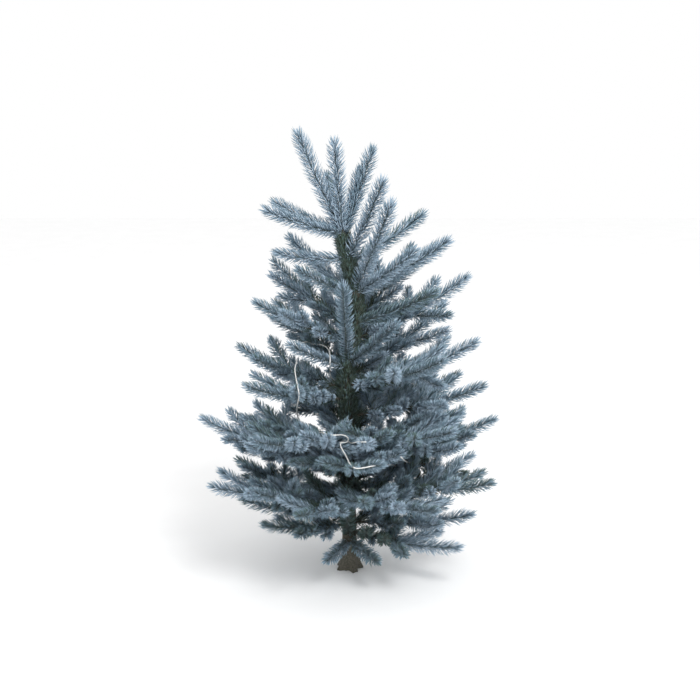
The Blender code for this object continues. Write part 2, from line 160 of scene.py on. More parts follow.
# Limbs on the trunk
LIMBS = (
    Limb("crown_front_high", 0.822, 314, 56, 1, 0.230),
    Limb("crown_left", 0.822, 190, 0, 1, 0.165),
    Limb("crown_right_back", 0.812, 34, 18, 1, 0.265),
    Limb("crown_back", 0.790, 100, 34, 1, 0.230),
    Limb("crown_right", 0.745, 308, 56, 1, 0.285),
    Limb("crown_right", 0.738, 332, 31, 1, 0.200),
    Limb("crown_right", 0.740, 2, 23, 1, 0.255),
    Limb("crown_right", 0.735, 28, 16, 1, 0.255),
    Limb("crown_front_left", 0.735, 214, 20, 1, 0.175),
    Limb("crown_back_left", 0.735, 142, 24, 1, 0.235),
    Limb("front_whorl", 0.560, 262, 66, 1, 0.238),
    Limb("front_whorl", 0.556, 320, 35, 1, 0.190),
    Limb("front_whorl", 0.550, 214, 19, 1, 0.190),
    Limb("upper_right_front", 0.660, 342, 18, 1, 0.240),
    Limb("foot_whorl", 0.095, 266, 52, 1, 0.215),
    Limb("foot_whorl", 0.080, 246, -8, 1, 0.130),
    Limb("foot_whorl", 0.085, 292, -4, 1, 0.170),
    Limb("upper_right", 0.615, 8, 21, 2, 0.325),
    Limb("upper_right_back", 0.655, 52, 28, 2, 0.300),
    Limb("upper_back", 0.635, 98, 28, 2, 0.290),
    Limb("upper_left_back", 0.645, 145, 23, 2, 0.280),
    Limb("upper_left", 0.615, 190, 17, 2, 0.262),
    Limb("middle_front_right", 0.500, 322, 14, 2, 0.320),
    Limb("middle_right", 0.485, 357, 15, 2, 0.362),
    Limb("middle_right_back", 0.520, 34, 19, 2, 0.335),
    Limb("middle_back", 0.515, 78, 22, 2, 0.320),
    Limb("middle_left_back", 0.530, 125, 22, 2, 0.310),
    Limb("middle_left", 0.490, 172, 13, 2, 0.295),
    Limb("middle_front_left", 0.465, 214, 8, 2, 0.300),
    Limb("middle_right_low", 0.420, 344, 10, 2, 0.350),
    Limb("low_front", 0.325, 270, 2, 3, 0.310),
    Limb("low_front_right", 0.370, 314, 5, 3, 0.345),
    Limb("low_right", 0.310, 4, 4, 3, 0.388),
    Limb("low_right_back", 0.380, 56, 8, 3, 0.370),
    Limb("low_back", 0.360, 112, 8, 3, 0.365),
    Limb("low_left", 0.305, 178, 5, 3, 0.388),
    Limb("low_front_left", 0.360, 226, 3, 3, 0.345),
    Limb("deep_front_left", 0.225, 246, -3, 3, 0.305),
    Limb("deep_front", 0.225, 294, -3, 3, 0.320),
    Limb("deep_front_right", 0.235, 336, -1, 3, 0.388),
    Limb("deep_right_back", 0.245, 34, 1, 3, 0.375),
    Limb("deep_back", 0.245, 86, 2, 3, 0.360),
    Limb("deep_left_back", 0.250, 140, 2, 3, 0.370),
    Limb("deep_left", 0.215, 204, 1, 3, 0.380),
    Limb("skirt_front_left", 0.125, 226, 0, 2, 0.250),
    Limb("skirt_front_right", 0.105, 312, -7, 2, 0.320),
    Limb("skirt_right", 0.130, 352, -1, 2, 0.335),
    Limb("skirt_back_right", 0.125, 45, 0, 2, 0.310),
    Limb("skirt_back_left", 0.125, 115, 0, 2, 0.310),
    Limb("skirt_left", 0.140, 176, 1, 2, 0.275),
)

# Rings and sides of the wood
TRUNK_RINGS = 260
TRUNK_RING_CROWDING = 1.15
TRUNK_SIDES = 30
BOUGH_RINGS = 44
BOUGH_SIDES = 12
TWIG_RINGS = 8
TWIG_SIDES = 6
YOUNG_WOOD_SHARE = 0.72

# The knob that the leading shoots stand on: height and share of the trunk's tip radius
LEADER_STEM_SIDES = 12
LEADER_STEM_RINGS = ((-0.004, 1.0), (0.006, 1.06), (0.014, 0.9), (LEADER_STEM_LENGTH, 0.62))

# Relief of the bark. Its ridges run along the trunk, and its blisters lie across it. The ridges'
# fractal noise has a roughness, a gap between its scales and a number of them
TRUNK_RELIEF = 0.0009
TRUNK_GRAIN = 160.0
BOUGH_RELIEF = 0.0004
BOUGH_GRAIN = 320.0
RIDGE_STRETCH = 0.35
RIDGE_SHARE = 0.6
RIDGE_FRACTAL = (1.0, 2.0, 3)
BLISTER_STRETCH = 1.6
BLISTER_GRAIN = 0.8
BLISTER_SHARE = 1.6
BLISTER_LEAST = 0.25
COLLAR_HEIGHT = 0.0035
COLLAR_WIDTH = 0.012
COLLAR_REACH = 0.03
PLAIN_END = 0.0005

# Needles. A needle is three-sided: each ring is a share of its length and a share of its width
NEEDLE_SIDES = 3
NEEDLE_RINGS = ((0.0, 0.75), (0.66, 1.0), (1.0, 0.0))
NEEDLE_THICKNESS = 0.6
NEEDLE_WIDTH = 0.0031
NEEDLE_WIDTH_SPREAD = (0.85, 1.1)
NEEDLE_LENGTH_SPREAD = (0.9, 1.06)
NEEDLES_A_METRE = {0: 1600, 1: 1600, 2: 900, 3: 550}
NEEDLE_WOOD_SHARE = 0.93
BARE_FROM_AGE = 4

# How they leave the wood. Each is a golden turn on from the last, and those of the underside
# are drawn up a little. Angles round the wood are in radians, from its top
GOLDEN_TURN = 2.39996
TURN_SPREAD = 0.25
UNDERSIDE_FROM = math.radians(95)
UNDERSIDE_DRAWN_UP = 0.25
ROOT_ON_YOUNG_WOOD = 0.5
ROOT_ON_OLD_WOOD = 0.8
TWIST_SPREAD = 0.4
NEVER_ZERO = 1e-6

# How far they open from the wood, in degrees. They close at the shoot's tip and along its top
TIP_OPENING = 26.0
OPENING_GAIN = 32.0
OPENING_CURVE = 0.8
OPENING_SPREAD = 4.0
BRUSH_OPENING = 46.0
TOP_HALF_WIDTH = 0.55
TOP_CLOSING = 0.3

# A brush's needles are shorter near its tip and its foot
TIP_REACH = 0.03
TIP_NEEDLE_SHARE = 0.7
FOOT_REACH = 0.022
FOOT_NEEDLE_SHARE = 0.66
SECOND_YEAR_GAIN = 1.3
OLD_GAIN = 1.15

# How they bend: upwards, ahead along the wood and out from it
BEND_UP = 0.15
BEND_AHEAD = 0.34
BEND_OUT = -0.14
BEND_SPREAD = 0.05

# The trunk's own needles, from the lower whorls up
TRUNK_NEEDLES = 5600
TRUNK_NEEDLE_SEED = 7
TRUNK_NEEDLES_FROM = 0.16
TRUNK_NEEDLE_CROWDING = 0.75
TRUNK_NEEDLE_OPENING = (28.0, 58.0)
TRUNK_NEEDLE_LENGTH = (0.02, 0.027)
TRUNK_NEEDLE_ROOT = 0.9
TRUNK_BEND_AHEAD = 0.35
TRUNK_BEND_OUT = -0.1
TRUNK_BEND_SPREAD = 0.08

# The needles' pieces, and how the names of the solids that each stands for begin
NEEDLE_PIECES = (
    ("needles_leaders", ("leaders",)),
    ("needles_crown", ("crown",)),
    ("needles_upper", ("upper", "front_whorl")),
    ("needles_middle", ("middle",)),
    ("needles_low_front", ("low_front",)),
    ("needles_low_sides", ("low_right_needles", "low_left")),
    ("needles_low_back", ("low_right_back", "low_back")),
    ("needles_deep_front", ("deep_front", "deep_left_needles")),
    ("needles_deep_back", ("deep_right_back", "deep_back", "deep_left_back")),
    ("needles_skirt", ("skirt", "foot_whorl")),
)

# The loose string, as routes across the picture in pixels. Its strands swell and thin
STRING_RADIUS = 0.0014
STRING_SIDES = 7
STRING_STEP = 0.006
STRING_LIFT = 0.013
STRING_EVENINGS = 3
STRAND_DEPTH = 0.12
STRAND_TURN = 1.9
STRING_ROUTES = (
    ((300, 343), (307, 342), (313, 344), (322, 345), (328, 349), (330, 356), (330, 364), (330, 371),
     (331, 377), (336, 381)),
    ((298, 358), (295, 368), (296, 378), (298, 388), (299, 396), (297, 408), (298, 417), (302, 424),
     (311, 429), (322, 433), (332, 435), (343, 435), (348, 438), (347, 442), (341, 443), (341, 447),
     (346, 456), (350, 464), (355, 468), (362, 468), (373, 466), (385, 465), (393, 465), (396, 467)),
    ((340, 443), (346, 440), (351, 443), (358, 442), (366, 442)),
    ((401, 457), (405, 461), (410, 463)),
)

# Finishes. A colour wavers by depth, as a share of it, in a noise of this scale and detail, and
# bump is the strength of the relief that the same noise makes
Finish = namedtuple("Finish", "name colour roughness depth scale sheen bump")
BARK = Finish("bark", (0.085, 0.08, 0.062), 0.85, 0.45, 240.0, 0.0, 0.5)
YOUNG_WOOD = Finish("young_wood", (0.11, 0.15, 0.14), 0.75, 0.3, 500.0, 0.0, 0.0)
STRING_FIBRE = Finish("string_fibre", (0.78, 0.78, 0.75), 0.7, 0.12, 900.0, 0.0, 0.4)
PALE_FLOOR = Finish("pale_floor", (0.96, 0.96, 0.96), 0.8, 0.01, 8.0, 0.0, 0.0)
NOISE_DETAIL = 3
TONE_ENDS = (0.3, 0.7)
RELIEF_DISTANCE = 0.001

# Shades of needle, from the newest wax bloom to the oldest needles
NEEDLE_ROUGHNESS = 0.5
NEEDLE_DEPTH = 0.16
NEEDLE_SCALE = 260.0
NEEDLE_SHEEN = 0.15
SHADES = (
    ("needle_silver", (0.415, 0.54, 0.655)),
    ("needle_blue", (0.23, 0.34, 0.42)),
    ("needle_sea_green", (0.11, 0.185, 0.185)),
    ("needle_green", (0.055, 0.10, 0.074)),
    ("needle_old", (0.032, 0.058, 0.03)),
)
SILVER, BLUE, SEA_GREEN, GREEN, OLD = range(5)

# A young shoot's main and second shade, up to a limit of its draw. Low shoots draw higher, into greener
# and darker shades: painted shade under the crown
YOUNG_SHADES = (
    (0.42, (SILVER, BLUE)),
    (0.8, (BLUE, SILVER)),
    (1.02, (BLUE, SEA_GREEN)),
    (math.inf, (SEA_GREEN, GREEN)),
)
LOW_SHOOT_PAINTED_SHADE = 0.35

# The share of second-year lengths with old needles among the green, the share of a length's
# needles in its main shade, and the share of those along its top that are a shade darker
OLD_NEEDLE_SHARE = 0.6
MAIN_SHADE_SHARE = 0.72
DARK_TOP_SHARE = 0.75
DARK_TOP_FROM = 0.6

# The trunk's needles: shade and share
TRUNK_SHADES = ((OLD, 0.35), (GREEN, 0.45), (SEA_GREEN, 0.2))


# Growth of the wood


def pointing(azimuth, rise):
    """A unit vector from two angles in degrees."""
    turn = math.radians(azimuth)
    tilt = math.radians(rise)
    flat = math.cos(tilt)
    return Vector((math.cos(turn) * flat, math.sin(turn) * flat, math.sin(tilt)))


def trunk_centre(height):
    """The trunk sways a little, and more towards its tip."""
    sway = TRUNK_SWAY * height / TRUNK_TOP
    phase = math.tau * (height - SWAY_START) / SWAY_WAVE
    return Vector((sway * math.sin(phase), SWAY_DEPTH_SHARE * sway * math.cos(phase), height))


def trunk_radius(height):
    """Even taper, with a flare that dies away above the ground."""
    taper = TRUNK_RADIUS + (TRUNK_TIP_RADIUS - TRUNK_RADIUS) * height / TRUNK_TOP
    return taper + FLARE_RADIUS * math.exp(-height / FLARE_HEIGHT)


def wood_radius(age, share):
    """Older wood is thicker, and every length tapers."""
    return WOOD_RADIUS + WOOD_RADIUS_A_YEAR * (age - share)


def spine_point(year, share):
    """A yearly length bends upwards as it grows, the newest the most."""
    lift = TIP_LIFT if year.age == 1 else LIFT
    rising = (UP - UP.dot(year.heading) * year.heading) * lift
    return year.start + year.length * (share * year.heading + 0.5 * share * share * rising)


def end_heading(year):
    return (spine_point(year, 1.0) - spine_point(year, 1.0 - TIP_CHORD)).normalized()


def brush_radius(year):
    """A longer brush is a little wider, and last year's is thin."""
    if year.age > 1:
        return OLD_BRUSH_RADIUS
    if year.age == 0:
        return SHORT_BRUSH_RADIUS
    return BRUSH_RADIUS + BRUSH_WIDENING * (year.length - BRUSH_LENGTH)


def thickness(year, share):
    """How far a yearly length reaches from its spine, at a share of its length."""
    if year.age > 2:
        return wood_radius(year.age, share)
    table = OLD_BRUSH_STATIONS if year.age == 2 else BRUSH_STATIONS
    for (share_a, wide_a), (share_b, wide_b) in zip(table, table[1:]):
        if share <= share_b:
            between = (share - share_a) / (share_b - share_a)
            return brush_radius(year) * (wide_a + (wide_b - wide_a) * between)
    return 0.0


class Room:
    """The space already taken, as beads strung along every limb, twig and brush."""

    def __init__(self):
        self.points = np.empty((0, 3))
        self.radii = np.empty(0)
        self.owners = np.empty(0, object)

    def take(self, points, radii, owner):
        self.points = np.vstack([self.points, points])
        self.radii = np.append(self.radii, radii)
        self.owners = np.append(self.owners, np.full(len(radii), owner, object))

    def fits(self, points, radii, owner, rooted, crowding=1.0):
        """Whether a string of beads clears all others, and its own kin but for its root. One
        that is rooted in the trunk may touch it there."""
        apart = np.linalg.norm(points[:, None] - self.points[None], axis=2)
        reach = radii[:, None] + self.radii[None]
        kin = (self.owners == owner)[None]
        at_root = np.linalg.norm(points - points[0], axis=1) < ROOT_ROOM
        allowed = (self.owners == "trunk")[None] & at_root[:, None] & rooted
        strange_hit = (apart < reach * crowding + CLEARANCE) & ~kin & ~allowed
        outer = (np.arange(len(points)) > (1 - OUTER_SHARE) * len(points))[:, None]
        kin_hit = (apart < reach * KIN_SHARE) & kin & outer
        return not (strange_hit.any() or kin_hit.any())


def beads(year):
    """A yearly length as beads, the first one a little way out from its root."""
    count = max(3, math.ceil(year.length / BEAD_STEP))
    shares = [(i + 0.5) / count for i in range(count)]
    points = np.array([spine_point(year, share) for share in shares])
    return points, np.array([thickness(year, share) for share in shares])


def fitted(room, year, crowding=1.0):
    """The yearly length, turned or cut until it fits, or None."""
    rooted = year.order == 0 and year.age == year.limb.years
    sideways = year.heading.cross(UP).normalized()
    for turn, raised, share in TRIES:
        heading = Quaternion(sideways, math.radians(raised)) @ year.heading
        heading = Quaternion(UP, math.radians(turn)) @ heading
        tried = year._replace(heading=heading, length=year.length * share)
        if year.age == 1 and tried.length < SHORTEST_BRUSH:
            continue
        points, radii = beads(tried)
        if room.fits(points, radii, year.limb.name, rooted, crowding):
            room.take(points, radii, year.limb.name)
            return tried
    return None


def yearly_length(limb, age, order, draw):
    """A limb's newer years are longer, and its side branches are shorter."""
    gain = 1 + YEARLY_GAIN * ((limb.years + 1) / 2 - age)
    spread = draw.uniform(1 - LENGTH_SPREAD, 1 + LENGTH_SPREAD)
    return limb.reach / limb.years * gain * SIDE_SHARE ** order * spread


def side_branches(year, draw, share=1.0, shorter=1.0, oldest=SIDE_YEARS):
    """The first lengths of two branches at a share of a year's length, in the limb's flat fan."""
    start, heading = spine_point(year, share), end_heading(year)
    sideways = heading.cross(UP).normalized()
    over = sideways.cross(heading)
    age = min(year.age - 1, oldest if year.order == 0 else 1)
    branches = []
    for side in (-1, 1):
        turn = math.radians(FORK_ANGLE + draw.uniform(-FORK_SPREAD, FORK_SPREAD))
        out = heading * math.cos(turn) + sideways * (side * math.sin(turn))
        out += over * draw.uniform(0, FORK_RISE)
        length = yearly_length(year.limb, age, year.order + 1, draw) * shorter
        branches.append(Year(year.limb, start, out.normalized(), length, age, year.order + 1))
    return branches


def grown(room, first_years):
    """Every limb's yearly lengths. All leading lengths grow first, then their side branches."""
    kept = {}
    draws = {year.limb.name: random.Random(year.limb.name) for year in first_years}
    wave = first_years
    while wave:
        later = []
        while wave:
            onward = []
            for year in [fitted(room, wish) for wish in wave]:
                if year is None:
                    continue
                kept.setdefault(year.limb.name, []).append(year)
                if year.age > 1:
                    draw = draws[year.limb.name]
                    length = yearly_length(year.limb, year.age - 1, year.order, draw)
                    tip = year._replace(start=spine_point(year, 1.0), heading=end_heading(year))
                    onward.append(tip._replace(length=length, age=year.age - 1))
                    later += side_branches(year, draw)
                    if year.length > LONG_YEAR:
                        later += side_branches(year, draw, MIDDLE_SHARE, MIDDLE_TWIG_SHARE, oldest=1)
            wave = onward
        wave = later
    return kept


def first_year(limb):
    """A limb's first length starts inside the trunk."""
    inside = trunk_radius(limb.height) * ROOT_SHARE
    root = trunk_centre(limb.height) + pointing(limb.azimuth, 0) * inside
    heading = pointing(limb.azimuth, limb.rise)
    length = yearly_length(limb, limb.years, 0, random.Random(limb.height))
    return Year(limb, root, heading, length, limb.years, 0)


def finer_shoots(room, kept, age, shares, lengths):
    """Shoots between the yearly knots of the older wood, on either side in turn, where there is
    room for them."""
    for name, years in kept.items():
        draw = random.Random(f"{name} {age}")
        for year in [year for year in years if year.age > 1]:
            for i, share in enumerate(shares):
                start = spine_point(year, share)
                sideways = year.heading.cross(UP).normalized() * (1 if (i + age) % 2 else -1)
                over = UP - UP.dot(year.heading) * year.heading
                spread = draw.uniform(-SHOOT_ANGLE_SPREAD, SHOOT_ANGLE_SPREAD)
                turn = math.radians(SHOOT_ANGLE + spread)
                out = year.heading * math.cos(turn) + sideways * math.sin(turn)
                out += over * draw.uniform(*SHOOT_RISE)
                length = draw.uniform(*lengths)
                shoot = Year(year.limb, start, out.normalized(), length, age, year.order + 1)
                shoot = fitted(room, shoot, SHOOT_CROWDING)
                if shoot:
                    years.append(shoot)


def whole_tree():
    """The yearly lengths of every mass, by its name."""
    room = Room()
    rings = np.arange(0, TRUNK_TOP, BEAD_STEP)
    along_trunk = [trunk_centre(height) for height in rings]
    room.take(along_trunk, [trunk_radius(height) for height in rings], "trunk")
    fork = trunk_centre(TRUNK_TOP) + UP * LEADER_STEM_LENGTH / 2
    leaders = [Year(limb, fork, pointing(limb.azimuth, limb.rise), limb.reach, 1, 0)
               for limb in LEADERS]
    kept = grown(room, leaders + [first_year(limb) for limb in LIMBS])
    finer_shoots(room, kept, 1, FILLING_SHARES, FILLING_LENGTHS)
    finer_shoots(room, kept, 0, SHORT_SHARES, SHORT_LENGTHS)
    return kept


# Finishes


def procedural(finish):
    """A surface whose colour wavers by a fine noise, with a slight relief if it has a bump."""
    made = bpy.data.materials.new(finish.name)
    made.use_nodes = True
    nodes, links = made.node_tree.nodes, made.node_tree.links
    shader = nodes["Principled BSDF"]
    shader.inputs["Roughness"].default_value = finish.roughness
    shader.inputs["Sheen Weight"].default_value = finish.sheen
    place = nodes.new("ShaderNodeTexCoord")
    grain = nodes.new("ShaderNodeTexNoise")
    grain.inputs["Scale"].default_value = finish.scale
    grain.inputs["Detail"].default_value = NOISE_DETAIL
    links.new(place.outputs["Object"], grain.inputs["Vector"])
    tones = nodes.new("ShaderNodeValToRGB")
    for end, position, gain in zip(tones.color_ramp.elements, TONE_ENDS, (-finish.depth, finish.depth)):
        end.position = position
        end.color = (*[min(1, tint * (1 + gain)) for tint in finish.colour], 1)
    links.new(grain.outputs["Fac"], tones.inputs["Fac"])
    links.new(tones.outputs["Color"], shader.inputs["Base Color"])
    if finish.bump:
        relief = nodes.new("ShaderNodeBump")
        relief.inputs["Strength"].default_value = finish.bump
        relief.inputs["Distance"].default_value = RELIEF_DISTANCE
        links.new(grain.outputs["Fac"], relief.inputs["Height"])
        links.new(relief.outputs["Normal"], shader.inputs["Normal"])
    return made


def needle_finishes():
    return [procedural(Finish(name, colour, NEEDLE_ROUGHNESS, NEEDLE_DEPTH, NEEDLE_SCALE,
                              NEEDLE_SHEEN, 0.0)) for name, colour in SHADES]


# Meshes and pieces


def mesh_of(bm, name):
    """A finished mesh. Its bmesh is freed."""
    mesh = bpy.data.meshes.new(name)
    bm.to_mesh(mesh)
    bm.free()
    return mesh


def stacked_rings(sides, radius, count):
    """A filled circle and rings extruded from it, not yet apart: a bmesh, its rings of corners
    and the last one's edges."""
    bm = bmesh.new()
    bmesh.ops.create_circle(bm, cap_ends=True, segments=sides, radius=radius)
    rings = [bm.verts[:]]
    rim = bm.edges[:]
    for _ in range(count - 1):
        made = bmesh.ops.extrude_edge_only(bm, edges=rim)["geom"]
        rings.append([item for item in made if isinstance(item, bmesh.types.BMVert)])
        rim = [item for item in made if isinstance(item, bmesh.types.BMEdge) and item.is_boundary]
    return bm, rings, rim


def frames(spine):
    """The placing of a ring at each point of a spine, turned along it without twisting."""
    turn = (spine[1] - spine[0]).to_track_quat("Z", "Y")
    placed = []
    for i, point in enumerate(spine):
        ahead = spine[min(i + 1, len(spine) - 1)] - spine[max(i - 1, 0)]
        turn = (turn @ UP).rotation_difference(ahead) @ turn
        placed.append(Matrix.LocRotScale(point, turn, None))
    return placed


def carried(whole, spine, sides, radius_at, material_index=0):
    """Adds a closed tapering limb to a mesh: a ring carried along a spine. radius_at(station,
    side) gives a corner's distance from it."""
    bm, rings, rim = stacked_rings(sides, 1.0, len(spine))
    bmesh.ops.edgeloop_fill(bm, edges=rim)
    for station, (ring, place) in enumerate(zip(rings, frames(spine))):
        for corner in ring:
            angle = math.atan2(corner.co.y, corner.co.x)
            side = round(angle / math.tau * sides) % sides
            radius = radius_at(station, side)
            corner.co = place @ Vector((radius * math.cos(angle), radius * math.sin(angle), 0))
    bmesh.ops.recalc_face_normals(bm, faces=bm.faces)
    for face in bm.faces:
        face.material_index = material_index
        face.smooth = True
    limb = mesh_of(bm, "limb")
    whole.from_mesh(limb)
    bpy.data.meshes.remove(limb)


def piece(name, mesh, slot, materials, *stands_for):
    """A finished piece, on the tree's one body."""
    for finish in materials:
        mesh.materials.append(finish)
    obj = bpy.data.objects.new(name, mesh)
    bpy.context.scene.collection.objects.link(obj)
    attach(obj, "root")
    if stands_for:
        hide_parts(*stands_for)


# Wood


def bark_push(place, roots, depth, grain):
    """How far the bark stands out at a place: ridges, blisters and a collar round each root."""
    ridges = noise.fractal(Vector((place.x, place.y, place.z * RIDGE_STRETCH)) * grain, *RIDGE_FRACTAL)
    spot = Vector((place.x, place.y, place.z * BLISTER_STRETCH)) * grain * BLISTER_GRAIN
    blister = max(0.0, noise.noise(spot) - BLISTER_LEAST)
    push = depth * (RIDGE_SHARE * ridges + BLISTER_SHARE * blister)
    for root in roots:
        away = (place - root).length
        if away < COLLAR_REACH:
            push += COLLAR_HEIGHT * math.exp(-((away / COLLAR_WIDTH) ** 2))
    return push


def bark_relief(bm, roots, depth, grain):
    """Moves the bark's corners out, but not at the trunk's flat cut and its tip."""
    bm.normal_update()
    moves = [bark_push(corner.co, roots, depth, grain) for corner in bm.verts]
    for corner, push in zip(bm.verts, moves):
        if PLAIN_END < corner.co.z < TRUNK_TOP - PLAIN_END:
            corner.co += corner.normal * push


def trunk_piece(bark):
    """The trunk, whose flare runs out in lobes, with closer rings towards the ground."""
    heights = [TRUNK_TOP * (i / TRUNK_RINGS) ** TRUNK_RING_CROWDING for i in range(TRUNK_RINGS + 1)]

    def radius_at(station, side):
        height = heights[station]
        flare = FLARE_LOBE_DEPTH * math.exp(-height / FLARE_HEIGHT)
        lobe = 1 + flare * math.cos(math.tau * FLARE_LOBES * side / TRUNK_SIDES)
        return trunk_radius(height) * lobe

    bm = bmesh.new()
    carried(bm, [trunk_centre(height) for height in heights], TRUNK_SIDES, radius_at)
    for corner in bm.verts:
        if corner.co.z < heights[1] / 2:
            corner.co.z = 0.0
    roots = [trunk_centre(limb.height) + pointing(limb.azimuth, 0) * trunk_radius(limb.height)
             for limb in LIMBS]
    bark_relief(bm, roots, TRUNK_RELIEF, TRUNK_GRAIN)
    piece("trunk_bark", mesh_of(bm, "trunk_bark"), "bark", [bark], "trunk")


def bough_piece(kept, bark):
    """The bare boughs, each one tapering limb."""
    bm = bmesh.new()
    names = []
    shares = [i / BOUGH_RINGS for i in range(BOUGH_RINGS + 1)]
    for name, years in kept.items():
        first = years[0]
        if name == "leaders" or first.age < BOUGH_YEARS:
            continue
        names.append(name + "_bough")
        spine = [spine_point(first, share) for share in shares]
        carried(bm, spine, BOUGH_SIDES, lambda station, side: wood_radius(first.age, shares[station]))
    bark_relief(bm, [], BOUGH_RELIEF, BOUGH_GRAIN)
    piece("bough_bark", mesh_of(bm, "bough_bark"), "bark", [bark], *names)


def twig(bm, year):
    """A thinner length of wood, sunk in the one it grows from and in the one that goes on."""
    young = year.age < 2
    end = NEEDLE_WOOD_SHARE if young else 1.0
    scale = YOUNG_WOOD_SHARE if young else 1.0
    age = max(year.age, 1)
    shares = [end * i / TWIG_RINGS for i in range(TWIG_RINGS + 1)]
    spine = [spine_point(year, share) for share in shares]
    spine[0] -= year.heading * ROOT_DEPTH
    if not young:
        spine[-1] += end_heading(year) * ROOT_DEPTH
    carried(bm, spine, TWIG_SIDES, lambda station, side: scale * wood_radius(age, shares[station]),
            material_index=int(young))


def twig_piece(kept, bark, young_wood):
    """All twigs, and the knob under the leading shoots."""
    bm = bmesh.new()
    for years in kept.values():
        for year in years:
            if year.age < BOUGH_YEARS or year.order > 0:
                twig(bm, year)
    fork = trunk_centre(TRUNK_TOP)
    spine = [fork + UP * height for height, _ in LEADER_STEM_RINGS]
    carried(bm, spine, LEADER_STEM_SIDES,
            lambda station, side: TRUNK_TIP_RADIUS * LEADER_STEM_RINGS[station][1])
    piece("twigs", mesh_of(bm, "twigs"), "bark", [bark, young_wood])


# Needles


def needle_shape():
    """One needle along +Z, 1 long and 1 wide: its corners and its faces."""
    bm, rings, _ = stacked_rings(NEEDLE_SIDES, 0.5, len(NEEDLE_RINGS))
    for ring, (along, wide) in zip(rings, NEEDLE_RINGS):
        for corner in ring:
            corner.co = Vector((corner.co.x * wide, corner.co.y * wide * NEEDLE_THICKNESS, along))
    bmesh.ops.pointmerge(bm, verts=rings[-1], merge_co=(0, 0, 1))
    bmesh.ops.recalc_face_normals(bm, faces=bm.faces)
    bm.verts.index_update()
    corners = np.array([corner.co for corner in bm.verts])
    faces = [[corner.index for corner in face.verts] for face in bm.faces]
    bm.free()
    return corners, faces


def unit(rows):
    return rows / np.linalg.norm(rows, axis=-1, keepdims=True)


def shades_of(year, draw):
    """The main and the second shade of a length's needles."""
    if year.age >= 3:
        return OLD, GREEN
    if year.age == 2:
        return (GREEN, OLD) if draw.random() < OLD_NEEDLE_SHARE else (GREEN, SEA_GREEN)
    # Lower shoots draw greener, darker shades: painted shade under the crown
    pick = draw.random() + LOW_SHOOT_PAINTED_SHADE * (0.5 - year.start.z / TRUNK_TOP)
    return next(pair for limit, pair in YOUNG_SHADES if pick < limit)


def needle_reach(year):
    """How far a length's needles stand out from its wood."""
    if year.age >= 3:
        return OLD_BRUSH_RADIUS * OLD_GAIN
    return brush_radius(year) * (SECOND_YEAR_GAIN if year.age == 2 else 1.0)


def along_wood(year, share):
    """The middle of the wood at each share of its length, and its direction there."""
    lift = TIP_LIFT if year.age == 1 else LIFT
    heading = np.array(year.heading)
    rising = (np.array(UP) - heading[2] * heading) * lift
    bent = share[:, None] * heading + 0.5 * share[:, None] ** 2 * rising
    return np.array(year.start) + year.length * bent, unit(heading + share[:, None] * rising)


def turns(count, flat, rng):
    """The needles' angles round the wood. On level wood the underside's are drawn up."""
    spread = rng.normal(0, TURN_SPREAD, count)
    around = (np.arange(count) * GOLDEN_TURN + spread) % math.tau - math.pi
    below = np.abs(around) - UNDERSIDE_FROM
    drawn_up = np.sign(around) * (UNDERSIDE_FROM + below * (1 - UNDERSIDE_DRAWN_UP * flat))
    return np.where(below > 0, drawn_up, around)


def needles_of(year, draw):
    """The needles of one length, as arrays with a row for each: root, ahead, bend, across,
    length, width and shade. They leave all round the wood, point forward and curve up, so that
    few hang below a level shoot."""
    young = year.age < 2
    end = NEEDLE_WOOD_SHARE if young else 1.0
    count = int(NEEDLES_A_METRE[min(year.age, 3)] * year.length * end)
    rng = np.random.default_rng(draw.getrandbits(32))
    share = (np.arange(count) + rng.uniform(0, 1, count)) / count * end
    centre, axis = along_wood(year, share)
    level = np.sqrt(np.clip(1 - axis[:, 2:3] ** 2, 0, 1))
    side = unit(np.cross(axis, (0, 0, 1)) + NEVER_ZERO)
    over = np.cross(side, axis)
    around = turns(count, level[:, 0], rng)
    radial = np.cos(around)[:, None] * over + np.sin(around)[:, None] * side
    top = np.exp(-((around / TOP_HALF_WIDTH) ** 2)) * level[:, 0]

    from_tip = np.ones(count)
    from_foot = np.ones(count)
    if young:
        from_tip = np.clip((end - share) * year.length / TIP_REACH, 0, 1)
        from_foot = np.clip(share * year.length / FOOT_REACH, 0, 1)
    opening = TIP_OPENING + OPENING_GAIN * from_tip ** OPENING_CURVE
    opening = np.radians(opening + rng.normal(0, OPENING_SPREAD, count)) * (1 - TOP_CLOSING * top)
    length = needle_reach(year) / math.sin(math.radians(BRUSH_OPENING))
    length = length * (TIP_NEEDLE_SHARE + (1 - TIP_NEEDLE_SHARE) * from_tip)
    length *= FOOT_NEEDLE_SHARE + (1 - FOOT_NEEDLE_SHARE) * from_foot
    length *= rng.uniform(*NEEDLE_LENGTH_SPREAD, count)

    ahead = np.cos(opening)[:, None] * axis + np.sin(opening)[:, None] * radial
    bend = BEND_UP * level * over + BEND_AHEAD * axis + BEND_OUT * radial
    bend += rng.normal(0, BEND_SPREAD, (count, 3))
    twist = rng.normal(0, TWIST_SPREAD, count)
    circling = np.cross(axis, radial)
    edge = np.cross(ahead, circling)
    across = unit(np.cos(twist)[:, None] * circling + np.sin(twist)[:, None] * edge)
    sunk = ROOT_ON_YOUNG_WOOD if young else ROOT_ON_OLD_WOOD
    root = centre + radial * wood_radius(max(year.age, 1), 0.5) * sunk
    width = NEEDLE_WIDTH * rng.uniform(*NEEDLE_WIDTH_SPREAD, count)

    first, second = shades_of(year, draw)
    chance = rng.uniform(0, 1, count)
    shade = np.where(chance < MAIN_SHADE_SHARE, first, second)
    dark_top = (top > DARK_TOP_FROM) & (chance < DARK_TOP_SHARE)
    shade = np.where(dark_top, np.minimum(shade + 1, OLD), shade)
    return root, ahead, bend, across, length, width, shade


